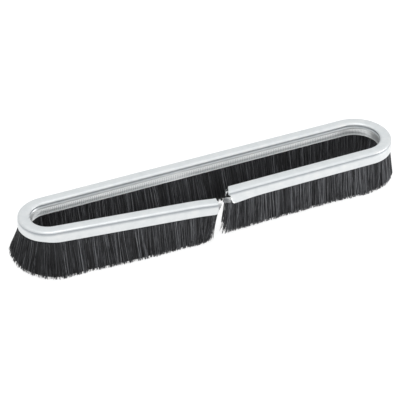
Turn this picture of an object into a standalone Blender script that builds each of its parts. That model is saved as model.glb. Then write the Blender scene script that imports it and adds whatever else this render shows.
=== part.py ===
"""Oblong strip brush: a folded steel channel bent into an open racetrack loop.

Black filaments are folded over a core wire inside the channel and hang down as a
dense skirt. The brush stands on the tips of its filaments. The channel is one
piece whose two cut ends meet with a gap in the middle of the long front side, and
the left front run is sprung outward a little. The origin is under the middle of
the brush's bounding box, on the surface it stands on. +X runs along the loop and
-Y is the side with the cut ends.
"""

import math
from collections import namedtuple

import bmesh
import bpy
from mathutils import Vector

MM = 0.001

# The loop, measured along the middle of the channel.
BACK_HALF = 127.3 * MM  # half the length of the straight back run
LEFT_RADIUS = 18.8 * MM
RIGHT_RADIUS = 22.6 * MM
LEFT_SPLAY = math.radians(7.8)  # how far the left front run is sprung outward
LEFT_RUN = 121.3 * MM  # each front run, from its bend to its cut end
RIGHT_RUN = 123.2 * MM
BEND_STEP = math.radians(10)

# The steel channel: a rounded crown, a neck on each side and a straight skirt.
SHEET = 0.6 * MM
FREE_LENGTH = 24.1 * MM  # filament showing below the skirt
CHANNEL_HEIGHT = 9.8 * MM
OUTER_SHORT = 0.4 * MM  # the outer skirt stops this far above the free length
INNER_LONG = 0.8 * MM  # and the inner one reaches this far below it
CROWN_HALF = 4.8 * MM
CROWN_CORNER = 2.6 * MM
OUTER_NECK, OUTER_NECK_DROP = 3.9 * MM, 1.95 * MM  # half width, and depth below the top
INNER_NECK, INNER_NECK_DROP = 3.6 * MM, 2.8 * MM
OUTER_SKIRT = 4.7 * MM
INNER_SKIRT = 4.35 * MM
SHOULDER_DROP = 1.9 * MM  # from a neck down to the full width of the skirt
LIP = 0.15 * MM  # how far the bottom edges turn out
LIP_RISE = 0.7 * MM

# The core wire and the filaments folded over it.
WIRE_RADIUS = 0.9 * MM
WIRE_DROP = 2.9 * MM  # from the top of the channel to the wire's centre
WIRE_STUB = 0.8 * MM  # the wire's ends standing out of the filaments
CLEARANCE = 0.3 * MM
FOLD_RADIUS = 1.95 * MM
HALF_SLIT = 0.35 * MM  # half the parting between the two rows of filament
MOUTH_OUT = 3.7 * MM  # half widths of the filament pack at the channel's mouth
MOUTH_IN = 3.35 * MM
LEFT_PROUD = 0.5 * MM  # how far the filaments stand out of each cut end
RIGHT_PROUD = 1.0 * MM
LEFT_LEAN = 7.0 * MM  # how far the tips lean back, away from the left cut end
RIGHT_LEAN = 4.0 * MM  # and forward, past the right one

# Half widths of the pack at its tips, outside and inside the loop.
TIP_STRAIGHT = 6.4 * MM
TIP_LEFT_END = 13.4 * MM
TIP_RIGHT_END = 7.7 * MM
TIP_IN_BACK = 7.4 * MM
TIP_IN_END = 6.0 * MM
TIP_IN_FRONT = 5.6 * MM

TOP = FREE_LENGTH + CHANNEL_HEIGHT
WIRE_HEIGHT = TOP - WIRE_DROP

Station = namedtuple("Station", "point outward")
Tips = namedtuple("Tips", "outer inner lean", defaults=[0.0])


def clear_scene():
    for item in list(bpy.data.objects):
        bpy.data.objects.remove(item, do_unlink=True)


def heading(angle):
    return Vector((math.cos(angle), math.sin(angle)))


def along(start, outward, distance):
    """The station this far on along a straight run. Travel is clockwise from above."""
    travel = Vector((outward.y, -outward.x))
    return Station(start + travel * distance, outward)


def bend(centre, radius, first, last):
    """Stations round a bend, clockwise, at equal steps."""
    steps = max(1, round((first - last) / BEND_STEP))
    angles = [first + (last - first) * i / steps for i in range(steps + 1)]
    return [Station(centre + heading(a) * radius, heading(a)) for a in angles]


def loop_runs(origin):
    """The five runs of the loop, clockwise from the left cut end."""
    quarter = math.pi / 2
    left_centre = Vector((-BACK_HALF, 0)) - origin
    right_centre = Vector((BACK_HALF, LEFT_RADIUS - RIGHT_RADIUS)) - origin
    left_end = bend(left_centre, LEFT_RADIUS, 3 * quarter - LEFT_SPLAY, quarter)
    right_end = bend(right_centre, RIGHT_RADIUS, quarter, -quarter)
    bend_start, bend_finish = left_end[0], right_end[-1]
    return {
        "front_left": [along(*bend_start, -LEFT_RUN), bend_start],
        "left_end": left_end,
        "back": [left_end[-1], right_end[0]],
        "right_end": right_end,
        "front_right": [bend_finish, along(*bend_finish, RIGHT_RUN)],
    }


def channel_side(skirt, neck, neck_drop, bottom):
    """One side of the channel's outer face, from the middle of the crown down."""
    height = CHANNEL_HEIGHT
    corner = [
        (
            CROWN_HALF - CROWN_CORNER * (1 - math.sin(a)),
            height - CROWN_CORNER * (1 - math.cos(a)),
        )
        for a in (math.radians(step * 14) for step in range(5))
    ]
    return corner + [
        (neck, height - neck_drop),
        (neck + 0.1 * MM, height - neck_drop - 0.4 * MM),
        (skirt - 0.1 * MM, height - neck_drop - SHOULDER_DROP),
        (skirt, height - neck_drop - 1.5 * SHOULDER_DROP),
        (skirt, bottom + LIP_RISE),
        (skirt + LIP, bottom),
    ]


def right_of(direction):
    return Vector((direction.y, -direction.x))


def inset(outline, thickness):
    """The open outline moved by the sheet's thickness to its right-hand side."""
    points = [Vector(p) for p in outline]
    legs = [(b - a).normalized() for a, b in zip(points, points[1:])]
    moved = []
    for point, before, after in zip(points, legs[:1] + legs, legs + legs[-1:]):
        side = right_of((before + after).normalized())
        moved.append(point + side * thickness / side.dot(right_of(after)))
    return moved


def channel_section():
    """The closed section of the folded sheet: into the loop is +X and up is +Y."""
    inner = channel_side(INNER_SKIRT, INNER_NECK, INNER_NECK_DROP, -INNER_LONG)
    outer = channel_side(OUTER_SKIRT, OUTER_NECK, OUTER_NECK_DROP, OUTER_SHORT)
    outside = [(-x, y) for x, y in reversed(outer)] + inner
    inside = inset(outside, SHEET)
    inside[0].y, inside[-1].y = OUTER_SHORT, -INNER_LONG
    return [Vector(p) for p in outside] + inside[::-1]


def poly_curve(name, points, cyclic=False):
    curve = bpy.data.curves.new(name, "CURVE")
    curve.dimensions = "3D"
    curve.twist_mode = "Z_UP"
    spline = curve.splines.new("POLY")
    spline.points.add(len(points) - 1)
    for node, point in zip(spline.points, points):
        node.co = (*point, 1.0)
    spline.use_cyclic_u = cyclic
    return curve


def material(name, colour, roughness, metallic):
    made = bpy.data.materials.new(name)
    made.use_nodes = True
    shader = made.node_tree.nodes["Principled BSDF"]
    shader.inputs["Base Color"].default_value = (*colour, 1.0)
    shader.inputs["Roughness"].default_value = roughness
    shader.inputs["Metallic"].default_value = metallic
    return made


def mesh_from_curve(name, curve, collection):
    """A curve's swept shape as a closed mesh object."""
    guide = bpy.data.objects.new(name + "_curve", curve)
    collection.objects.link(guide)
    bpy.context.view_layer.update()
    evaluated = guide.evaluated_get(bpy.context.evaluated_depsgraph_get())
    mesh = bpy.data.meshes.new_from_object(evaluated)
    mesh.name = name
    bpy.data.objects.remove(guide, do_unlink=True)
    shape = bmesh.new()
    shape.from_mesh(mesh)
    bmesh.ops.remove_doubles(shape, verts=shape.verts, dist=0.001 * MM)
    bmesh.ops.recalc_face_normals(shape, faces=shape.faces)
    shape.to_mesh(mesh)
    shape.free()
    made = bpy.data.objects.new(name, mesh)
    collection.objects.link(made)
    return made


def smooth(part):
    part.data.shade_smooth()
    part.data.set_sharp_from_angle(angle=math.radians(35))


def joined(runs):
    """The whole loop's stations, each bend's ends counted once."""
    stations = []
    for run in runs.values():
        stations += run if not stations else run[1:]
    return stations


def add_channel(runs, collection, guides):
    section = poly_curve("channel_section", [(*p, 0.0) for p in channel_section()], True)
    profile = bpy.data.objects.new("channel_section", section)
    profile.hide_render = True
    profile.display_type = "WIRE"
    guides.objects.link(profile)
    path = poly_curve("channel_path", [(*s.point, FREE_LENGTH) for s in joined(runs)])
    path.bevel_mode = "OBJECT"
    path.bevel_object = profile
    path.use_fill_caps = True
    channel = mesh_from_curve("steel_channel", path, collection)
    channel.data.materials.clear()
    channel.data.materials.append(material("zinc_plated_steel", (0.76, 0.78, 0.77), 0.35, 1.0))
    smooth(channel)


def add_core_wire(runs, collection):
    stations = joined(runs)
    stations[0] = along(*stations[0], -LEFT_PROUD - WIRE_STUB)
    stations[-1] = along(*stations[-1], RIGHT_PROUD + WIRE_STUB)
    path = poly_curve("wire_path", [(*s.point, WIRE_HEIGHT) for s in stations])
    path.bevel_depth = WIRE_RADIUS
    path.bevel_resolution = 2
    path.use_fill_caps = True
    wire = mesh_from_curve("core_wire", path, collection)
    wire.data.materials.append(material("bright_steel_wire", (0.62, 0.63, 0.63), 0.3, 1.0))
    smooth(wire)


def arc_points(radius, first, last, steps):
    """Points in the section round the wire, from one angle to another."""
    angles = [first + (last - first) * i / steps for i in range(steps + 1)]
    return [(radius * math.cos(a), WIRE_HEIGHT + radius * math.sin(a)) for a in angles]


def pack_section(tips):
    """The filament pack's section: two rows folded over the wire, parted by a slit."""
    slit = math.asin(HALF_SLIT / (WIRE_RADIUS + CLEARANCE))
    quarter = math.pi / 2
    shoulder = FREE_LENGTH + 0.42 * CHANNEL_HEIGHT
    outline = [(tips.outer, 0.0), (MOUTH_OUT, FREE_LENGTH), (0.9 * MOUTH_OUT, shoulder)]
    outline += arc_points(FOLD_RADIUS, 0, math.pi, 8)
    outline += [(-0.9 * MOUTH_IN, shoulder), (-MOUTH_IN, FREE_LENGTH), (-tips.inner, 0.0)]
    outline.append((-HALF_SLIT, 0.0))
    outline += arc_points(
        WIRE_RADIUS + CLEARANCE, 3 * quarter - slit, -quarter + slit, 10
    )
    outline.append((HALF_SLIT, 0.0))
    return outline


def placed(station, tips):
    """A pack section's points at a station, with the free filaments leaning if asked."""
    travel = Vector((station.outward.y, -station.outward.x))
    points = []
    for across, height in pack_section(tips):
        lean = tips.lean * max(0.0, 1 - height / FREE_LENGTH)
        plan = station.point + station.outward * across + travel * lean
        points.append(Vector((plan.x, plan.y, height)))
    return points


def pack_rings(stations, first_tips, last_tips):
    """The sections along one pack, its tips changing evenly from first to last."""
    rings = []
    for i, station in enumerate(stations):
        share = i / (len(stations) - 1)
        tips = Tips(*(a + (b - a) * share for a, b in zip(first_tips, last_tips)))
        rings.append(placed(station, tips))
    return rings


def add_pack(name, sections, collection):
    """One run of filaments, lofted through its sections."""
    shape = bmesh.new()
    rings = [[shape.verts.new(point) for point in section] for section in sections]
    for near, far in zip(rings, rings[1:]):
        for i in range(len(near)):
            j = (i + 1) % len(near)
            shape.faces.new((near[i], near[j], far[j], far[i]))
    shape.faces.new(rings[0])
    shape.faces.new(rings[-1])
    bmesh.ops.recalc_face_normals(shape, faces=shape.faces)
    mesh = bpy.data.meshes.new(name)
    shape.to_mesh(mesh)
    shape.free()
    pack = bpy.data.objects.new(name, mesh)
    pack.data.materials.append(material(name, (0.03, 0.03, 0.034), 0.6, 0.0))
    collection.objects.link(pack)
    smooth(pack)


def part_run(stations, pieces, start_gap, end_gap):
    """A straight run cut into equal pieces, each short of its neighbours."""
    start, outward = stations[0]
    length = (stations[-1].point - start).length - start_gap - end_gap
    piece = length / pieces
    half = CLEARANCE / 2
    cuts = []
    for i in range(pieces):
        begin = start_gap + i * piece + (half if i else 0.0)
        finish = start_gap + (i + 1) * piece - (half if i < pieces - 1 else 0.0)
        cuts.append([along(start, outward, begin), along(start, outward, finish)])
    return cuts


def part_bend(stations, pieces):
    """A bend cut into pieces at its stations, each short of its neighbours."""
    count = len(stations) - 1
    marks = [round(count * i / pieces) for i in range(pieces + 1)]
    half = CLEARANCE / 2
    cuts = []
    for first, last in zip(marks, marks[1:]):
        piece = stations[first : last + 1]
        piece[0] = between(piece[0], piece[1], half)
        piece[-1] = between(piece[-1], piece[-2], half)
        cuts.append(piece)
    return cuts


def between(station, neighbour, distance):
    """The station this far from one station toward its neighbour, along the chord."""
    share = distance / (neighbour.point - station.point).length
    point = station.point.lerp(neighbour.point, share)
    return Station(point, station.outward.lerp(neighbour.outward, share).normalized())


def filament_packs(runs):
    """Every pack's name and sections, clockwise from the left cut end."""
    half = CLEARANCE / 2
    straight = Tips(TIP_STRAIGHT, TIP_IN_FRONT)
    straight_back = Tips(TIP_STRAIGHT, TIP_IN_BACK)
    left = Tips(TIP_LEFT_END, TIP_IN_END)
    right = Tips(TIP_RIGHT_END, TIP_IN_END)
    leaning_back = Tips(TIP_STRAIGHT, TIP_IN_FRONT, LEFT_LEAN)
    leaning_on = Tips(TIP_STRAIGHT, TIP_IN_FRONT, RIGHT_LEAN)
    front_left = part_run(runs["front_left"], 1, -LEFT_PROUD, half)
    left_end = part_bend(runs["left_end"], 3)
    back = part_run(runs["back"], 2, half, half)
    right_end = part_bend(runs["right_end"], 3)
    front_right = part_run(runs["front_right"], 1, half, -RIGHT_PROUD)
    return {
        "filaments_front_left": pack_rings(front_left[0], leaning_back, left),
        "filaments_left_bend_front": pack_rings(left_end[0], left, left),
        "filaments_left_bend_middle": pack_rings(left_end[1], left, left),
        "filaments_left_bend_back": pack_rings(left_end[2], left, straight_back),
        "filaments_back_left": pack_rings(back[0], straight_back, straight_back),
        "filaments_back_right": pack_rings(back[1], straight_back, straight_back),
        "filaments_right_bend_back": pack_rings(right_end[0], straight_back, right),
        "filaments_right_bend_middle": pack_rings(right_end[1], right, right),
        "filaments_right_bend_front": pack_rings(right_end[2], right, straight),
        "filaments_front_right": pack_rings(front_right[0], straight, leaning_on),
    }


def middle_of_brush():
    """The middle, in plan, of everything the filaments reach."""
    packs = filament_packs(loop_runs(Vector((0, 0))))
    points = [point for rings in packs.values() for ring in rings for point in ring]
    low = Vector((min(p.x for p in points), min(p.y for p in points)))
    high = Vector((max(p.x for p in points), max(p.y for p in points)))
    return (low + high) / 2


def main():
    clear_scene()
    collection = bpy.data.collections.new("oblong_strip_brush")
    guides = bpy.data.collections.new("guides")
    bpy.context.scene.collection.children.link(collection)
    bpy.context.scene.collection.children.link(guides)
    runs = loop_runs(middle_of_brush())
    add_channel(runs, collection, guides)
    add_core_wire(runs, collection)
    for name, sections in filament_packs(runs).items():
        add_pack(name, sections, collection)


main()
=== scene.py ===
import math

import bpy
import numpy as np
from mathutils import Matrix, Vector


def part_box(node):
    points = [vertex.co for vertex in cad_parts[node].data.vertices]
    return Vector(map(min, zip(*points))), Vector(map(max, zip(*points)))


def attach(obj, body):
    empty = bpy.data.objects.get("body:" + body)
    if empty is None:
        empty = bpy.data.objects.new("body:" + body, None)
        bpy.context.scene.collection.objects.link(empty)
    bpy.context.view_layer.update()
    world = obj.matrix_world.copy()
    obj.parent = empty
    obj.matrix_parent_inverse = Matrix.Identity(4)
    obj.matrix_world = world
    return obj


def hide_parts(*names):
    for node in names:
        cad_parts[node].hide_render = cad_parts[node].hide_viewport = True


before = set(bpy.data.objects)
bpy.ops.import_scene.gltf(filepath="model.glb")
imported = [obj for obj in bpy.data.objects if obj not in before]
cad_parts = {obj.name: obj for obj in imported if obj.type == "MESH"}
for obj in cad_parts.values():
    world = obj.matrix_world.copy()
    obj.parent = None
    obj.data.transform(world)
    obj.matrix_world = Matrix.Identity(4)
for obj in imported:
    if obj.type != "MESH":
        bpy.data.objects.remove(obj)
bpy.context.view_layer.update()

MM = 0.001
SEED = 20261117

# ---------------------------------------------------------------- the loop's route
BACK_HALF = 127.3 * MM  # half of the straight back run
LEFT_RADIUS = 18.8 * MM
RIGHT_RADIUS = 22.6 * MM
LEFT_SPLAY = math.radians(7.8)  # how far the left front run is sprung outward
LEFT_RUN = 121.3 * MM  # each front run, from its bend to its cut end
RIGHT_RUN = 123.2 * MM

# ---------------------------------------------------------------- the channel's section
SHEET = 0.6 * MM
FREE_LENGTH = 24.1 * MM  # filament showing below the skirt
CHANNEL_HEIGHT = 9.8 * MM
OUTER_SHORT = 0.4 * MM  # the outer skirt stops this far above the free length
INNER_LONG = 0.8 * MM  # and the inner one reaches this far below it
CROWN_HALF = 4.8 * MM
CROWN_CORNER = 2.6 * MM
CROWN_RISE = 0.04 * MM  # how far the crown's middle stands above its corners
CORNER_STEPS, CORNER_TURN = 6, 11.2  # points round a corner, and degrees between them
OUTER_NECK, OUTER_NECK_DROP = 3.9 * MM, 1.95 * MM  # half width, and depth below the top
INNER_NECK, INNER_NECK_DROP = 3.6 * MM, 2.8 * MM
OUTER_SKIRT = 4.7 * MM
INNER_SKIRT = 4.35 * MM
OUTER_SHOULDER, INNER_SHOULDER = 1.9 * MM, 1.25 * MM  # from a neck to the full width
NECK_BEND = ((0.15, 0.3), (0.02, 0.05), (0.02, -0.15), (0.12, -0.42))  # mm out and up
LIP = 0.15 * MM  # how far the bottom edges turn out
LIP_RISE = 0.8 * MM
SHARP_ANGLE = math.radians(40)
TOOTH_PITCH = 1.5 * MM  # the serrations of the inner skirt
TOOTH_DEPTH = 0.32 * MM
TEETH_ABOVE, TEETH_HIGH = 1.0 * MM, 4.0 * MM  # above the lower edge, and their tops
TOLERANCE = 0.001 * MM
BEND_TRIM = 1.6 * MM  # how much shorter the outer skirt is in the left bend
TRIM_IN, TRIM_OUT = (-4 * MM, 9 * MM), (28 * MM, 46 * MM)  # from the bend's start
LEFT_END_ROUND = 2.8 * MM
RIGHT_END_ROUND = 3.5 * MM
RIGHT_SPLAY, SPLAY_LENGTH = 1.6 * MM, 15 * MM  # the outer skirt spreads at the right end
SPLAY_DROP = 0.35  # and comes down by this share of its spread
RIGHT_SKEW, SKEW_LENGTH = 0.45, 4 * MM  # the crown's cut at the right end isn't square
LEFT_SWING, SWING_LENGTH = 1.1 * MM, 10 * MM  # the left end stands this far outward
PLAIN_TONE, TOOTH_SHADE_TONE, PAINTED_LIGHT_TONE = 0.7, 0.45, 1.0  # the groove's painted shade has tone 0; the second is painted shade in the serrations' hollows, the third painted light on the inner skirt
PAINTED_LIGHT_ABOVE = 1 * MM  # the painted light on the inner skirt ends this far above the serrations
GROOVE_HALF = 0.75 * MM  # how far the painted shade in the groove spreads above and below the neck
INNER_GROOVE_SHARE = 0.9
UV_PER_METRE = 10

# ---------------------------------------------------------------- the wire and filaments
WIRE_RADIUS = 0.9 * MM
WIRE_DROP = 2.9 * MM
WIRE_STUB = 0.8 * MM
WIRE_STEPS = 420
HOOK_BEND = 0.8 * MM
HOOK_DROP = 2.8 * MM
FOLD_RADIUS = 1.95 * MM
HALF_SLIT = 0.35 * MM
FOLD_INSET = 2.0 * MM  # the folded body stops short of the strands at the cut ends
FOLD_STOP = 1.4 * MM  # and above their tips
FOLD_CLEAR = 0.9 * MM  # and inside their outermost rows
FOLD_NARROW, FOLD_SHOULDER = 0.85, 0.42
FOLD_ARC_STEPS, TUNNEL_STEPS = 10, 12
MOUTH_OUT = 3.95 * MM
MOUTH_IN = 3.6 * MM
LEFT_PROUD = 0.5 * MM  # how far the filaments stand out of each cut end
RIGHT_PROUD = 1.0 * MM
INNER_TIPS = 5.6 * MM  # from the channel's middle to the inner tips
INNER_TIPS_BACK = 1.8 * MM  # and further along the back run
INNER_TIPS_MIDDLE = 7.5 * MM  # and further again at its middle
MIDDLE_SHIFT, MIDDLE_LENGTH = 8 * MM, 75 * MM
LEAN_BACK, LEAN_BACK_LENGTH = 7.0 * MM, 11 * MM
LEAN_ON, LEAN_ON_LENGTH = 3.4 * MM, 9 * MM
OUTER_LEAN_SHARE = 0.55  # the outer legs lean more than the inner ones by this share
STRAND_RADIUS = 0.2 * MM
STRANDS_PER_MM = 19.0  # on each side of the wire
STRAND_SIDES = 3
STRAND_STEPS = (0.0, 0.14, 0.38, 0.62, 0.83, 1.0)  # rings from root to tip
STRAND_TAPER = 0.85
STRAND_CURL = 1.15  # power of the way down by which a strand leaves its root's line
STRAIGHT_ROOT = 0.1  # the share of a strand that stays upright in the channel
STRAND_ROOT = 2.5 * MM  # how far the roots reach up into the channel
PARTING_ROOT, PARTING_TIP = 0.35 * MM, 0.5 * MM  # from the middle to the innermost row
LAYER_POWER, LAYER_SHARE = 1.7, 0.98
TUFT_PITCH = 0.85 * MM
TUFT_PULL = 0.2  # the most that a strand's tip is drawn to the middle of its tuft
RAISED_TIPS, STRAY_LENGTH = 2.6 * MM, 5 * MM  # near the left cut end, and both
OWN_SHADE, TUFT_SHADE = 0.8, 0.2
# painted light on the right front strands, painted shade round the left bend and on the
# inner legs
RIGHT_PAINTED_LIGHT, LEFT_PAINTED_SHADE, INNER_PAINTED_SHADE = 0.12, 0.1, 0.03

# Spreads of the filaments, in millimetres
TUFT_LEAN, TUFT_OUT, TUFT_SHORT = 0.7, 0.2, 0.45
TIP_ALONG, TIP_ACROSS, TIP_SHORT = 0.8, 0.25, 0.25
STRAY_ALONG = 2.2
BOW_OUT, BOW_OUT_SPREAD, BOW_ALONG_SPREAD = 0.12, 0.18, 0.2

# ---------------------------------------------------------------- stage
FLOOR_SIZE, FLOOR_DROP = 6.0, 0.5 * MM
VIEW_AZIMUTH, VIEW_ELEVATION = math.radians(-24.86), math.radians(35.55)
VIEW_DISTANCE = 1087.8 * MM
VIEW_CENTRE = (-0.95 * MM, 12.63 * MM)  # on the floor, in the route's own coordinates
LAMP_TARGET = (0, 0, 0.02)

TOP = FREE_LENGTH + CHANNEL_HEIGHT
WIRE_HEIGHT = TOP - WIRE_DROP
LEFT_BEND = LEFT_RADIUS * (math.pi - LEFT_SPLAY)
RIGHT_BEND = RIGHT_RADIUS * math.pi
# Distances along the loop, clockwise from the left cut end, at which its runs begin
MARKS = np.cumsum([0.0, LEFT_RUN, LEFT_BEND, 2 * BACK_HALF, RIGHT_BEND, RIGHT_RUN])
LENGTH = MARKS[-1]


def loop_origin():
    """The frame's origin in the route's own coordinates, from the channel's box."""
    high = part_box("steel_channel")[1]
    reach = OUTER_SKIRT + LIP
    return BACK_HALF + RIGHT_RADIUS + reach - high.x, LEFT_RADIUS + reach - high.y


ORIGIN = loop_origin()


def route(distance):
    """Points and outward directions at these distances from the left cut end.

    The route's own coordinates start midway between the bends, level with the
    left one's centre. The points that it returns are in the frame.
    """
    s = np.asarray(distance, float)
    point = np.zeros((len(s), 2))
    angle = np.zeros(len(s))
    left = np.array((-BACK_HALF, 0.0))
    right = np.array((BACK_HALF, LEFT_RADIUS - RIGHT_RADIUS))
    start, half = 1.5 * math.pi - LEFT_SPLAY, 0.5 * math.pi
    runs = (
        (left, LEFT_RADIUS, start, start, MARKS[1]),
        (left, LEFT_RADIUS, start, half, MARKS[1]),
        (left, LEFT_RADIUS, half, half, MARKS[2]),
        (right, RIGHT_RADIUS, half, -half, MARKS[3]),
        (right, RIGHT_RADIUS, -half, -half, MARKS[4]),
    )
    which = np.clip(np.searchsorted(MARKS, s, side="right") - 1, 0, 4)
    for i, (centre, radius, first, last, mark) in enumerate(runs):
        here = which == i
        turned = (s[here] - mark) / radius if first != last else 0.0 * s[here]
        a = first - turned
        beyond = (s[here] - mark) if first == last else 0.0 * s[here]
        out = np.stack((np.cos(a), np.sin(a)), 1)
        travel = np.stack((out[:, 1], -out[:, 0]), 1)
        point[here] = centre + out * radius + travel * beyond[:, None]
        angle[here] = a
    outward = np.stack((np.cos(angle), np.sin(angle)), 1)
    return point - np.array(ORIGIN), outward


def mix(a, b, share):
    return a + (b - a) * share


def smoothstep(low, high, value):
    """0 below low, 1 above high, and a smooth rise between them."""
    t = np.clip((value - low) / (high - low), 0.0, 1.0)
    return t * t * (3 - 2 * t)


# ---------------------------------------------------------------- mesh helpers
def mesh_object(name, points, quads, tris=(), uv=None):
    """An object from arrays of points and faces, smooth shaded."""
    quads = np.asarray(quads, np.int32).reshape(-1, 4)
    tris = np.asarray(tris, np.int32).reshape(-1, 3)
    mesh = bpy.data.meshes.new(name)
    mesh.vertices.add(len(points))
    mesh.vertices.foreach_set("co", np.asarray(points, np.float32).ravel())
    corners = np.concatenate((quads.ravel(), tris.ravel()))
    mesh.loops.add(len(corners))
    mesh.loops.foreach_set("vertex_index", corners)
    sizes = np.concatenate((np.full(len(quads), 4), np.full(len(tris), 3)))
    starts = np.concatenate(([0], np.cumsum(sizes)[:-1])).astype(np.int32)
    mesh.polygons.add(len(sizes))
    mesh.polygons.foreach_set("loop_start", starts)
    mesh.update(calc_edges=True)
    mesh.polygons.foreach_set("use_smooth", np.ones(len(sizes), bool))
    if uv is not None:
        layer = mesh.uv_layers.new(name="strip")
        layer.uv.foreach_set("vector", np.asarray(uv, np.float32)[corners].ravel())
    mesh.validate()
    made = bpy.data.objects.new(name, mesh)
    bpy.context.scene.collection.objects.link(made)
    return made


def swept_quads(rings, count):
    """Faces between neighbouring closed rings of the same number of points."""
    ring = np.arange(count)
    at = np.arange(rings - 1)[:, None] * count
    following = (ring + 1) % count
    corners = (at + ring, at + following, at + count + following, at + count + ring)
    return np.stack(corners, -1).reshape(-1, 4)


def point_values(piece, name, values):
    """A number on every point of the piece, which its material reads by name."""
    made = piece.data.attributes.new(name, "FLOAT", "POINT")
    made.data.foreach_set("value", np.ravel(values).astype(np.float32))


def place(distance, across, height):
    """Row-frame points for distances along the loop, offsets outward and heights."""
    point, outward = route(np.ravel(distance))
    plan = point + outward * np.ravel(across)[:, None]
    return np.column_stack((plan, np.ravel(height)))


# ---------------------------------------------------------------- steel channel
def channel_side(skirt, neck, neck_drop, shoulder, bottom):
    """One side of the channel's outer face, from the crown's middle down."""
    height = CHANNEL_HEIGHT
    under = height - neck_drop
    corner = [
        (
            CROWN_HALF - CROWN_CORNER * (1 - math.sin(a)),
            height - CROWN_CORNER * (1 - math.cos(a)),
        )
        for a in (math.radians(step * CORNER_TURN) for step in range(CORNER_STEPS))
    ]
    bend = [(neck + out * MM, under + up * MM) for out, up in NECK_BEND]
    return [(0.0, height + CROWN_RISE)] + corner + bend + [
        (skirt - 0.2 * MM, under - 0.85 * shoulder),
        (skirt - 0.08 * MM, under - 1.15 * shoulder),
        (skirt, TEETH_HIGH + 0.3 * MM),
        (skirt, TEETH_HIGH),
        (skirt, bottom + TEETH_ABOVE),
        (skirt, bottom + TEETH_ABOVE - 0.25 * MM),
        (skirt + 0.4 * LIP, bottom + 0.4 * LIP_RISE),
        (skirt + LIP, bottom + 0.08 * MM),
        (skirt + LIP - 0.1 * MM, bottom),
    ]


def inset(outline, thickness):
    """The open outline moved to its right-hand side by the sheet's thickness."""
    legs = np.diff(outline, axis=0)
    legs /= np.linalg.norm(legs, axis=1)[:, None]
    before, after = np.vstack((legs[:1], legs)), np.vstack((legs, legs[-1:]))
    run = before + after
    run /= np.linalg.norm(run, axis=1)[:, None]
    side = np.stack((run[:, 1], -run[:, 0]), 1)
    square = np.stack((after[:, 1], -after[:, 0]), 1)
    return outline + side * (thickness / np.sum(side * square, 1))[:, None]


def channel_section():
    """The sheet's section, outside face first, and how many of its points that is."""
    inner = channel_side(
        INNER_SKIRT, INNER_NECK, INNER_NECK_DROP, INNER_SHOULDER, -INNER_LONG)
    outer = channel_side(
        OUTER_SKIRT, OUTER_NECK, OUTER_NECK_DROP, OUTER_SHOULDER, OUTER_SHORT)
    outside = np.array([(-x, y) for x, y in reversed(inner)] + outer[1:])
    inside = inset(outside, SHEET)
    inside[[0, -1], 1] = -INNER_LONG, OUTER_SHORT
    return np.vstack((outside, inside[::-1])), len(outside)


def form_skirts(s, section, across, height):
    """The skirts' edges: rounded at the cut ends, trimmed in the bend, splayed."""
    low = section[:, 1] < CHANNEL_HEIGHT / 2
    rise = np.zeros(len(s))
    for gap, radius in ((s, LEFT_END_ROUND), (LENGTH - s, RIGHT_END_ROUND)):
        inside_round = np.clip(radius - gap, 0.0, radius)
        rise = np.maximum(rise, radius - np.sqrt(radius**2 - inside_round**2))
    share = np.clip(1 - height[:, low] / (CHANNEL_HEIGHT / 2), 0, 1)
    height[:, low] += rise[:, None] * share
    trim = BEND_TRIM * smoothstep(MARKS[1] + TRIM_IN[0], MARKS[1] + TRIM_IN[1], s)
    trim *= 1 - smoothstep(MARKS[1] + TRIM_OUT[0], MARKS[1] + TRIM_OUT[1], s)
    share *= section[low, 0] > 0
    height[:, low] += trim[:, None] * share
    splay = RIGHT_SPLAY * np.exp(-(((LENGTH - s) / SPLAY_LENGTH) ** 2))
    across[:, low] += splay[:, None] * share
    height[:, low] -= SPLAY_DROP * splay[:, None] * share


def channel_tone(section, teeth, rings):
    """How bright each point is: painted shade in the groove and the serrations' hollows,
    painted light on the inner skirt inside the loop.
    """
    outer_half = section[:, 0] > 0
    depth = np.where(outer_half, OUTER_NECK_DROP, INNER_NECK_DROP)
    # painted shade in the groove under the crown
    away = (section[:, 1] - CHANNEL_HEIGHT + depth) / GROOVE_HALF
    groove = np.exp(-(away**2)) * np.where(outer_half, 1.0, INNER_GROOVE_SHARE)
    tone = PLAIN_TONE * (1 - groove)
    # painted light: the inner skirt's face inside the loop is brightened
    painted_light_mask = (section[:, 0] < 0) & (section[:, 1] < TEETH_HIGH + PAINTED_LIGHT_ABOVE)
    tone[painted_light_mask] = PAINTED_LIGHT_TONE
    tone = np.repeat(tone[None, :], rings, 0)
    # painted shade in the hollows of the serrations
    tone[1:-1:2, teeth] = TOOTH_SHADE_TONE
    return tone


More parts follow.
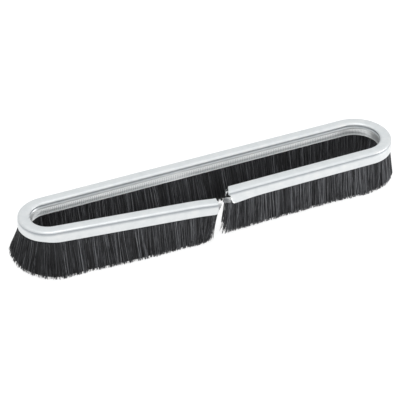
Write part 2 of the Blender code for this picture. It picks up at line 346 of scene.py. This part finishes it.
def build_channel():
    """The folded channel along the whole loop, with serrations and its cut ends."""
    section, sides = channel_section()
    count = len(section)
    stations = int(round(LENGTH / (TOOTH_PITCH / 2)))
    s = np.linspace(0.0, LENGTH, stations + 1)
    across = np.repeat(section[None, :, 0], len(s), 0)
    height = np.repeat(section[None, :, 1], len(s), 0)

    teeth = (section[:, 0] < -INNER_SKIRT + 0.01 * MM)
    teeth &= section[:, 1] >= TEETH_ABOVE - INNER_LONG - TOLERANCE
    teeth &= (section[:, 1] <= TEETH_HIGH + TOLERANCE) & (np.arange(count) < sides)
    across[1:-1:2, teeth] += TOOTH_DEPTH
    form_skirts(s, section, across, height)
    swing = LEFT_SWING * np.exp(-((s / SWING_LENGTH) ** 2))
    across += swing[:, None]

    crown = section[:, 1] > CHANNEL_HEIGHT - CROWN_CORNER
    skew = RIGHT_SKEW * np.exp(-(LENGTH - s) / SKEW_LENGTH)[:, None]
    along = s[:, None] + skew * section[:, 0] * crown

    points = place(along, across, height + FREE_LENGTH)
    quads = swept_quads(len(s), count)[:, ::-1]
    edge = np.arange(sides - 1)
    back = count - 1 - edge
    cap = np.stack((edge, edge + 1, back - 1, back), 1)
    far_cap = cap[:, ::-1] + (len(s) - 1) * count
    legs = np.linalg.norm(np.diff(section, axis=0), axis=1)
    around = np.concatenate(([0], np.cumsum(legs)))
    uv = np.column_stack((np.repeat(s, count), np.tile(around, len(s)))) * UV_PER_METRE
    channel = mesh_object("channel_strip", points, np.vstack((quads, cap, far_cap)), uv=uv)
    point_values(channel, "tone", channel_tone(section, teeth, len(s)))
    channel.data.set_sharp_from_angle(angle=SHARP_ANGLE)
    return channel


def build_crimp(name, end, onward, reach, low, high, turn_in):
    """A cut end of the outer skirt, pinched inward round the filaments.

    reach is how far it stands out at its foot and at its head, and turn_in is how
    far its free edge is bent toward the inside of the channel.
    """
    along_steps, up_steps = 9, 7
    u, v = np.meshgrid(
        np.linspace(0, 1, along_steps), np.linspace(0, 1, up_steps), indexing="ij")
    out = (reach[0] + (reach[1] - reach[0]) * v) * u
    out *= 1 - 0.25 * (2 * v - 1) ** 4 * u
    along = end + onward * (out - 0.4 * MM * (1 - u))
    middle = OUTER_SKIRT - SHEET / 2 - turn_in * u**1.6
    bottom = low + 0.5 * MM * u**2
    top = high - 0.6 * MM * u**2
    height = bottom + (top - bottom) * v
    layers = [place(along, middle + layer, height) for layer in (SHEET / 2, -SHEET / 2)]
    points = np.vstack(layers)
    grid = np.arange(along_steps * up_steps).reshape(along_steps, up_steps)
    a, b, c, d = grid[:-1, :-1], grid[1:, :-1], grid[1:, 1:], grid[:-1, 1:]
    front = np.stack((a, b, c, d), -1).reshape(-1, 4)
    back = front[:, ::-1] + grid.size
    rim = np.concatenate((grid[:, 0], grid[-1, 1:], grid[-2::-1, -1], grid[0, -2:0:-1]))
    following = np.roll(rim, -1)
    edge = np.stack((rim, rim + grid.size, following + grid.size, following), 1)
    quads = np.vstack((front, back, edge))
    if onward > 0:
        quads = quads[:, ::-1]
    uv = np.column_stack((np.ravel(along), np.ravel(height))) * UV_PER_METRE
    tab = mesh_object(name, points, quads, uv=np.vstack((uv, uv)))
    point_values(tab, "tone", np.full(len(points), PLAIN_TONE))
    return tab


# ---------------------------------------------------------------- core wire
def build_wire():
    """The retaining wire: it runs round inside the crown and shows at both ends."""
    s = np.linspace(-LEFT_PROUD - WIRE_STUB, LENGTH + WIRE_STUB, WIRE_STEPS)
    height = np.full(len(s), WIRE_HEIGHT)
    hook = np.radians(np.arange(15, 91, 15))
    s = np.concatenate((s, s[-1] + HOOK_BEND * np.sin(hook), [s[-1] + HOOK_BEND]))
    drop = HOOK_BEND * (1 - np.cos(hook))
    height = np.concatenate((height, WIRE_HEIGHT - drop, [WIRE_HEIGHT - HOOK_DROP]))
    point, _ = route(s)
    curve = bpy.data.curves.new("retaining_wire", "CURVE")
    curve.dimensions = "3D"
    curve.bevel_depth = WIRE_RADIUS
    curve.bevel_resolution = 3
    curve.use_fill_caps = True
    spline = curve.splines.new("POLY")
    spline.points.add(len(s) - 1)
    for knot, at, up in zip(spline.points, point, height):
        knot.co = (at[0], at[1], up, 1.0)
    wire = bpy.data.objects.new("retaining_wire", curve)
    bpy.context.scene.collection.objects.link(wire)
    return wire


# ---------------------------------------------------------------- filaments
def flare(s):
    """How far the tips reach outward and inward of the channel's middle.

    outward holds millimetres along the loop and of reach, and it is widest in the
    bends and narrowest where the long runs begin.
    """
    left, right = MARKS[1] / MM, MARKS[3] / MM
    outward = (
        (0, 5.0), (12, 7.0), (25, 7.5), (45, 10.2), (70, 12.8), (100, 14.0),
        (left, 16.8), (left + 10, 13.8), (left + 20, 11.4), (left + 28, 11.2),
        (left + 37, 13.4), (left + 44, 13.8), (left + 57, 9.0), (left + 70, 6.4),
        (right, 6.4), (right + 18, 8.0), (right + 38, 8.0), (right + 48, 7.2),
        (right + 56, 6.8), (right + 68, 7.6), (right + 76, 9.0), (right + 88, 8.6),
        (right + 103, 7.6), (right + 123, 7.2), (right + 168, 7.8), (right + 195, 8.5),
    )
    at, reach = np.array(outward).T * MM
    outer = np.interp(s, at, reach)
    back = smoothstep(MARKS[2], MARKS[2] + 30 * MM, s)
    back *= 1 - smoothstep(MARKS[3] - 30 * MM, MARKS[3], s)
    from_middle = s - (MARKS[2] + MARKS[3]) / 2 + MIDDLE_SHIFT
    middle = np.exp(-((from_middle / MIDDLE_LENGTH) ** 2))
    inner = INNER_TIPS + back * INNER_TIPS_BACK + middle * INNER_TIPS_MIDDLE
    return outer, inner


def lean(s):
    """How far the tips lean along the run, near the left cut end and the right one."""
    from_left = np.clip(s + LEFT_PROUD, 0, None)
    from_right = np.clip(LENGTH + RIGHT_PROUD - s, 0, None)
    back = LEAN_BACK * np.exp(-from_left / LEAN_BACK_LENGTH)
    on = LEAN_ON * np.exp(-from_right / LEAN_ON_LENGTH)
    return back, on


def build_fold():
    """The dense roots of the filaments, folded over the wire, as one dark body."""
    s = np.concatenate((
        np.linspace(FOLD_INSET - LEFT_PROUD, MARKS[1], 40),
        np.linspace(MARKS[1], MARKS[2], 40)[1:],
        np.linspace(MARKS[2], MARKS[3], 60)[1:],
        np.linspace(MARKS[3], MARKS[4], 40)[1:],
        np.linspace(MARKS[4], LENGTH + RIGHT_PROUD - FOLD_INSET, 40)[1:],
    ))
    outer, inner = flare(s)
    reach = 1 - FOLD_STOP / FREE_LENGTH
    out_low = mix(MOUTH_OUT, outer, reach) - FOLD_CLEAR
    in_low = mix(MOUTH_IN, inner, reach) - FOLD_CLEAR
    shoulder = FREE_LENGTH + FOLD_SHOULDER * CHANNEL_HEIGHT
    hole = WIRE_RADIUS + 0.1 * MM
    slit = math.asin(HALF_SLIT / hole)

    def arc(radius, first, last, steps):
        """Points round the wire, from one angle to another."""
        angles = [first + (last - first) * i / steps for i in range(steps + 1)]
        return [(radius * math.cos(a), WIRE_HEIGHT + radius * math.sin(a)) for a in angles]

    outline = [
        (out_low, FOLD_STOP),
        (MOUTH_OUT - 0.5 * MM, FREE_LENGTH),
        (FOLD_NARROW * MOUTH_OUT, shoulder),
        *arc(FOLD_RADIUS, 0.0, math.pi, FOLD_ARC_STEPS),
        (-FOLD_NARROW * MOUTH_IN, shoulder),
        (0.5 * MM - MOUTH_IN, FREE_LENGTH),
        (-in_low, FOLD_STOP),
        (-HALF_SLIT, FOLD_STOP),
        *arc(hole, 1.5 * math.pi - slit, slit - 0.5 * math.pi, TUNNEL_STEPS),
        (HALF_SLIT, FOLD_STOP),
    ]
    whole = np.ones(len(s))
    across = np.stack([a * whole for a, _ in outline], 1)
    height = np.stack([h * whole for _, h in outline], 1)
    leaning = np.clip(1 - height / FREE_LENGTH, 0, 1) * sum(lean(s))[:, None]
    count = len(outline)
    points = place(np.repeat(s, count) + leaning.ravel(), across, height)
    return mesh_object("filament_fold", points, swept_quads(len(s), count))


def strand_mesh(name, centre_lines, turn):
    """Tapered three-sided strands.

    centre_lines holds, for each step down, where every strand's middle is along the
    loop, outward and up. turn is how far each strand is turned about its own line.
    """
    rings = []
    for u, (along, across, height) in zip(STRAND_STEPS, centre_lines):
        radius = STRAND_RADIUS * mix(1.0, STRAND_TAPER, u)
        point, outward = route(along)
        travel = np.stack((outward[:, 1], -outward[:, 0]), 1)
        centre_line = point + outward * across[:, None]
        for k in range(STRAND_SIDES):
            a = turn + 2 * math.pi * k / STRAND_SIDES
            offset = outward * np.cos(a)[:, None] + travel * np.sin(a)[:, None]
            rings.append(np.column_stack((centre_line + offset * radius, height)))
    per = STRAND_SIDES * len(STRAND_STEPS)
    points = np.stack(rings, 1).reshape(-1, 3)
    base = np.arange(len(turn))[:, None] * per
    quads = []
    for low in range(0, per - STRAND_SIDES, STRAND_SIDES):
        high = low + STRAND_SIDES
        for k in range(STRAND_SIDES):
            j = (k + 1) % STRAND_SIDES
            quads.append(base + np.array((low + k, high + k, high + j, low + j)))
    quads = np.stack(quads, 1).reshape(-1, 4)
    last = base + per - STRAND_SIDES
    caps = np.concatenate((base + np.array((0, 1, 2)), last + np.array((0, 2, 1))))
    return mesh_object(name, points, quads, caps)


def build_strands(name, start, finish, seed):
    """Every filament leg of one pack, as strands gathered into tufts."""
    rng = np.random.default_rng(seed)
    length = finish - start
    per_side = int(STRANDS_PER_MM * length / MM)
    n = 2 * per_side
    side = np.repeat((1.0, -1.0), per_side)
    s = start + rng.random(n) * length
    layer = 1 - rng.random(n) ** LAYER_POWER * LAYER_SHARE
    outer, inner = flare(s)
    tip_reach = np.where(side > 0, outer, inner)
    mouth_reach = np.where(side > 0, MOUTH_OUT, MOUTH_IN)

    tufts = max(2, int(length / TUFT_PITCH))
    order = np.arange(tufts) + 0.5 + rng.uniform(-0.3, 0.3, tufts)
    centre = start + order * length / tufts
    rows = 2 * tufts
    tuft = np.clip(((s - start) / length * tufts).astype(int), 0, tufts - 1)
    tuft_id = tuft + np.where(side > 0, 0, tufts)
    pull = rng.uniform(0.0, TUFT_PULL, rows)[tuft_id]
    tuft_lean = rng.normal(0, TUFT_LEAN, rows)[tuft_id] * MM
    tuft_out = rng.normal(0, TUFT_OUT, rows)[tuft_id] * MM
    tuft_short = rng.uniform(0, TUFT_SHORT, rows)[tuft_id] * MM

    from_left = np.clip(s + LEFT_PROUD, 0, None)
    from_end = np.clip(np.minimum(s + LEFT_PROUD, LENGTH + RIGHT_PROUD - s), 0, None)
    stray = rng.normal(0, STRAY_ALONG, n) * MM * np.exp(-from_end / STRAY_LENGTH)
    back, on = lean(s)
    tip_s = mix(s, centre[tuft], pull) + tuft_lean
    tip_s += rng.normal(0, TIP_ALONG, n) * MM + stray
    tip_s += back + on * (1 + OUTER_LEAN_SHARE * side)
    tip_across = PARTING_TIP + layer * (tip_reach - PARTING_TIP) + tuft_out
    tip_across += rng.normal(0, TIP_ACROSS, n) * MM
    tip_height = tuft_short + np.abs(rng.normal(0, TIP_SHORT, n)) * MM
    tip_height += RAISED_TIPS * np.exp(-from_left / STRAY_LENGTH)
    root_across = PARTING_ROOT + layer * (mouth_reach - PARTING_ROOT)
    bow_out = rng.normal(BOW_OUT, BOW_OUT_SPREAD, n) * MM
    bow_along = rng.normal(0, BOW_ALONG_SPREAD, n) * MM
    turn = rng.random(n) * 2 * math.pi

    centre_lines = []
    for u in STRAND_STEPS:
        bow = math.sin(math.pi * u)
        along = mix(s, tip_s, u**STRAND_CURL) + bow_along * bow
        spread = max(0.0, (u - STRAIGHT_ROOT) / (1 - STRAIGHT_ROOT)) ** STRAND_CURL
        across = mix(root_across, tip_across, spread) + bow_out * bow
        height = mix(FREE_LENGTH + STRAND_ROOT, tip_height, u)
        centre_lines.append((along, across * side, height))
    strands = strand_mesh(name, centre_lines, turn)

    tuft_shade = rng.random(rows)[tuft_id]
    shade = OWN_SHADE * rng.random(n) + TUFT_SHADE * tuft_shade
    # painted light along the right front, painted shade round the left bend and on the
    # inner legs
    right_front = smoothstep(MARKS[3] + 25 * MM, MARKS[3] + 50 * MM, s)
    left_bend = smoothstep(MARKS[1] - 40 * MM, MARKS[1], s)
    left_bend *= 1 - smoothstep(MARKS[2], MARKS[2] + 20 * MM, s)
    shade += RIGHT_PAINTED_LIGHT * right_front - LEFT_PAINTED_SHADE * left_bend
    shade -= INNER_PAINTED_SHADE * (side < 0)
    point_values(strands, "shade", np.repeat(shade, STRAND_SIDES * len(STRAND_STEPS)))
    return strands


# ---------------------------------------------------------------- materials
def new_material(name):
    """A material with its node tree and its shader."""
    made = bpy.data.materials.new(name)
    made.use_nodes = True
    tree = made.node_tree
    return made, tree, tree.nodes["Principled BSDF"]


def node(tree, kind, **values):
    """A node, with each value set on its socket of that name or on the node itself."""
    made = tree.nodes.new(kind)
    for key, value in values.items():
        if key in made.inputs:
            made.inputs[key].default_value = value
        else:
            setattr(made, key, value)
    return made


def ramp(tree, source, stops):
    """The colour output of a ramp through these positions and colours."""
    made = tree.nodes.new("ShaderNodeValToRGB")
    points = made.color_ramp.elements
    while len(points) < len(stops):
        points.new(0.5)
    for point, (at, colour) in zip(points, stops):
        point.position = at
        point.color = (*colour, 1.0)
    tree.links.new(source, made.inputs["Fac"])
    return made.outputs["Color"]


def grey(at, level):
    """A ramp's stop with the same level in all three channels."""
    return at, (level,) * 3


def zinc(name, stops):
    """Zinc plate on rolled strip: drawn lines along it, clouding, painted shade in the
    groove and painted light inside the loop.
    """
    made, tree, shader = new_material(name)
    uv = node(tree, "ShaderNodeUVMap", uv_map="strip")
    stretch = node(tree, "ShaderNodeMapping", Scale=(3.0, 260.0, 1.0))
    tree.links.new(uv.outputs["UV"], stretch.inputs["Vector"])
    drawn = node(tree, "ShaderNodeTexNoise", Scale=4.0, Detail=3.0)
    tree.links.new(stretch.outputs["Vector"], drawn.inputs["Vector"])
    place_in = node(tree, "ShaderNodeTexCoord")
    cloud = node(tree, "ShaderNodeTexNoise", Scale=160.0, Detail=4.0, Roughness=0.6)
    tree.links.new(place_in.outputs["Object"], cloud.inputs["Vector"])
    colour = ramp(tree, cloud.outputs["Fac"], stops)
    # painted shade and painted light from the tone: darker toward the groove, brighter on
    # the inner skirt
    tone = node(tree, "ShaderNodeAttribute", attribute_name="tone")
    painted_shading = ramp(tree, tone.outputs["Fac"], (
        (0.0, (0.5, 0.52, 0.55)),
        grey(PLAIN_TONE, 1.0),
        (PAINTED_LIGHT_TONE, (1.3, 1.29, 1.27)),
    ))
    tint = node(tree, "ShaderNodeMix", data_type="RGBA", blend_type="MULTIPLY")
    tint.inputs["Factor"].default_value = 1.0
    tree.links.new(colour, tint.inputs[6])
    tree.links.new(painted_shading, tint.inputs[7])
    tree.links.new(tint.outputs[2], shader.inputs["Base Color"])
    rough = ramp(tree, drawn.outputs["Fac"], (grey(0.3, 0.3), grey(0.7, 0.42)))
    tree.links.new(rough, shader.inputs["Roughness"])
    bump = node(tree, "ShaderNodeBump", Strength=0.25, Distance=0.06 * MM)
    tree.links.new(drawn.outputs["Fac"], bump.inputs["Height"])
    tree.links.new(bump.outputs["Normal"], shader.inputs["Normal"])
    shader.inputs["Metallic"].default_value = 0.68
    return made


def wire_steel():
    """Bright drawn steel, finely mottled."""
    made, tree, shader = new_material("drawn_wire")
    place_in = node(tree, "ShaderNodeTexCoord")
    noise = node(tree, "ShaderNodeTexNoise", Scale=900.0, Detail=2.0)
    tree.links.new(place_in.outputs["Object"], noise.inputs["Vector"])
    colour = ramp(tree, noise.outputs["Fac"], (grey(0.3, 0.5), (0.7, (0.7, 0.71, 0.71))))
    tree.links.new(colour, shader.inputs["Base Color"])
    shader.inputs["Metallic"].default_value = 1.0
    shader.inputs["Roughness"].default_value = 0.3
    return made


def filament(name, dark, middle, light, roughness):
    """Black plastic filament: each strand has its own grey, with a soft sheen."""
    made, tree, shader = new_material(name)
    own = node(tree, "ShaderNodeAttribute", attribute_name="shade")
    place_in = node(tree, "ShaderNodeTexCoord")
    noise = node(tree, "ShaderNodeTexNoise", Scale=700.0, Detail=2.0)
    tree.links.new(place_in.outputs["Object"], noise.inputs["Vector"])
    add = node(tree, "ShaderNodeMath", operation="MULTIPLY_ADD")
    tree.links.new(noise.outputs["Fac"], add.inputs[0])
    add.inputs[1].default_value = 0.25
    tree.links.new(own.outputs["Fac"], add.inputs[2])
    colour = ramp(tree, add.outputs["Value"], ((0.2, dark), (0.75, middle), (1.0, light)))
    tree.links.new(colour, shader.inputs["Base Color"])
    rough = ramp(tree, noise.outputs["Fac"], (
        grey(0.3, roughness - 0.06), grey(0.7, roughness + 0.08)))
    tree.links.new(rough, shader.inputs["Roughness"])
    shader.inputs["Specular IOR Level"].default_value = 0.4
    return made


# ---------------------------------------------------------------- stage
def lamp(name, size, energy, position):
    """A square area light that faces the part."""
    light = bpy.data.lights.new(name, "AREA")
    light.size = size
    light.energy = energy
    made = bpy.data.objects.new(name, light)
    made.location = position
    away = Vector(position) - Vector(LAMP_TARGET)
    made.rotation_euler = away.to_track_quat("Z", "Y").to_euler()
    bpy.context.scene.collection.objects.link(made)


def build_stage():
    """A pale floor, a soft sky that is brightest overhead, and two lights."""
    bpy.ops.mesh.primitive_plane_add(size=FLOOR_SIZE, location=(0, 0, -FLOOR_DROP))
    floor = bpy.context.object
    floor.name = "studio_floor"
    made, tree, shader = new_material("pale_floor")
    shader.inputs["Base Color"].default_value = (0.3, 0.3, 0.3, 1.0)
    shader.inputs["Roughness"].default_value = 0.9
    shader.inputs["Emission Color"].default_value = (1.0, 1.0, 1.0, 1.0)
    shader.inputs["Emission Strength"].default_value = 0.78
    floor.data.materials.append(made)

    world = bpy.data.worlds.new("studio")
    world.use_nodes = True
    bpy.context.scene.world = world
    tree = world.node_tree
    direction = node(tree, "ShaderNodeTexCoord")
    split = node(tree, "ShaderNodeSeparateXYZ")
    tree.links.new(direction.outputs["Generated"], split.inputs["Vector"])
    colour = ramp(tree, split.outputs["Z"], (
        (0.0, (0.72, 0.74, 0.75)),
        (0.35, (0.80, 0.82, 0.83)),
        (0.6, (0.85, 0.87, 0.88)),
        (0.9, (1.1, 1.12, 1.13)),
    ))
    tree.links.new(colour, tree.nodes["Background"].inputs["Color"])
    tree.nodes["Background"].inputs["Strength"].default_value = 1.0
    lamp("key_light", 0.5, 8.0, (1.3, -0.7, 0.5))
    lamp("top_light", 0.5, 1.6, (-0.2, -0.25, 1.3))


def build_camera():
    """A long lens above the front, to the left of the middle."""
    back = Vector((
        math.sin(VIEW_AZIMUTH) * math.cos(VIEW_ELEVATION),
        -math.cos(VIEW_AZIMUTH) * math.cos(VIEW_ELEVATION),
        math.sin(VIEW_ELEVATION),
    ))
    target = Vector((VIEW_CENTRE[0] - ORIGIN[0], VIEW_CENTRE[1] - ORIGIN[1], 0.0))
    data = bpy.data.cameras.new("camera")
    data.lens = 126.0
    data.sensor_width = 36.0
    data.dof.use_dof = False
    camera = bpy.data.objects.new("camera", data)
    camera.location = target + back * VIEW_DISTANCE
    camera.rotation_euler = back.to_track_quat("Z", "Y").to_euler()
    bpy.context.scene.collection.objects.link(camera)
    bpy.context.scene.camera = camera


# ---------------------------------------------------------------- assembly
def finish_piece(piece, material, slot, *nodes):
    """The piece with its material, on the root body, and the CAD nodes that it replaces
    hidden. slot is not used.
    """
    if material.name not in piece.data.materials:
        piece.data.materials.append(material)
    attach(piece, "root")
    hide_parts(*nodes)


def build_filaments():
    """The ten packs of strands, divided as the CAD divides them, and their roots."""
    third_left, third_right = LEFT_BEND / 3, RIGHT_BEND / 3
    cuts = [-LEFT_PROUD, MARKS[1]]
    cuts += [MARKS[1] + third_left, MARKS[1] + 2 * third_left, MARKS[2]]
    cuts += [(MARKS[2] + MARKS[3]) / 2, MARKS[3]]
    cuts += [MARKS[3] + third_right, MARKS[3] + 2 * third_right, MARKS[4]]
    cuts += [LENGTH + RIGHT_PROUD]
    packs = (
        "front_left", "left_bend_front", "left_bend_middle", "left_bend_back",
        "back_left", "back_right",
        "right_bend_back", "right_bend_middle", "right_bend_front", "front_right",
    )
    black = filament(
        "black_filament", dark=(0.010, 0.010, 0.011), middle=(0.042, 0.043, 0.047),
        light=(0.19, 0.193, 0.205), roughness=0.42)
    for i, (pack, start, finish) in enumerate(zip(packs, cuts, cuts[1:])):
        strands = build_strands("strands_" + pack, start, finish, SEED + i)
        finish_piece(strands, black, "black_filament", "filaments_" + pack)
    root = filament(
        "filament_root", dark=(0.006, 0.006, 0.007), middle=(0.014, 0.014, 0.016),
        light=(0.03, 0.03, 0.032), roughness=0.6)
    finish_piece(build_fold(), root, "black_filament")


plate = zinc("zinc_plate", (
    (0.3, (0.68, 0.70, 0.705)),
    (0.55, (0.73, 0.745, 0.75)),
    (0.75, (0.775, 0.775, 0.765)),
))
# painted shade on the crimped ends: darker than the plate, and mottled at random
shaded_mottled = zinc("shaded_mottled_zinc", (
    (0.35, (0.16, 0.165, 0.17)),
    (0.5, (0.42, 0.425, 0.43)),
    (0.62, (0.72, 0.72, 0.71)),
))
finish_piece(build_channel(), plate, "zinc_plated_steel", "steel_channel")
left_crimp = build_crimp(
    "left_crimp", end=0.0, onward=-1, reach=(1.2 * MM, 3.6 * MM),
    low=FREE_LENGTH + 2.0 * MM, high=TOP - 0.9 * MM, turn_in=1.1 * MM)
right_crimp = build_crimp(
    "right_crimp", end=LENGTH, onward=1, reach=(6.0 * MM, 4.8 * MM),
    low=FREE_LENGTH + 0.1 * MM, high=TOP - 4.5 * MM, turn_in=1.6 * MM)
finish_piece(left_crimp, shaded_mottled, "zinc_plated_steel")
finish_piece(right_crimp, shaded_mottled, "zinc_plated_steel")
finish_piece(build_wire(), wire_steel(), "bright_steel_wire", "core_wire")
build_filaments()
build_stage()
build_camera()
bpy.context.scene.view_settings.view_transform = "Standard"
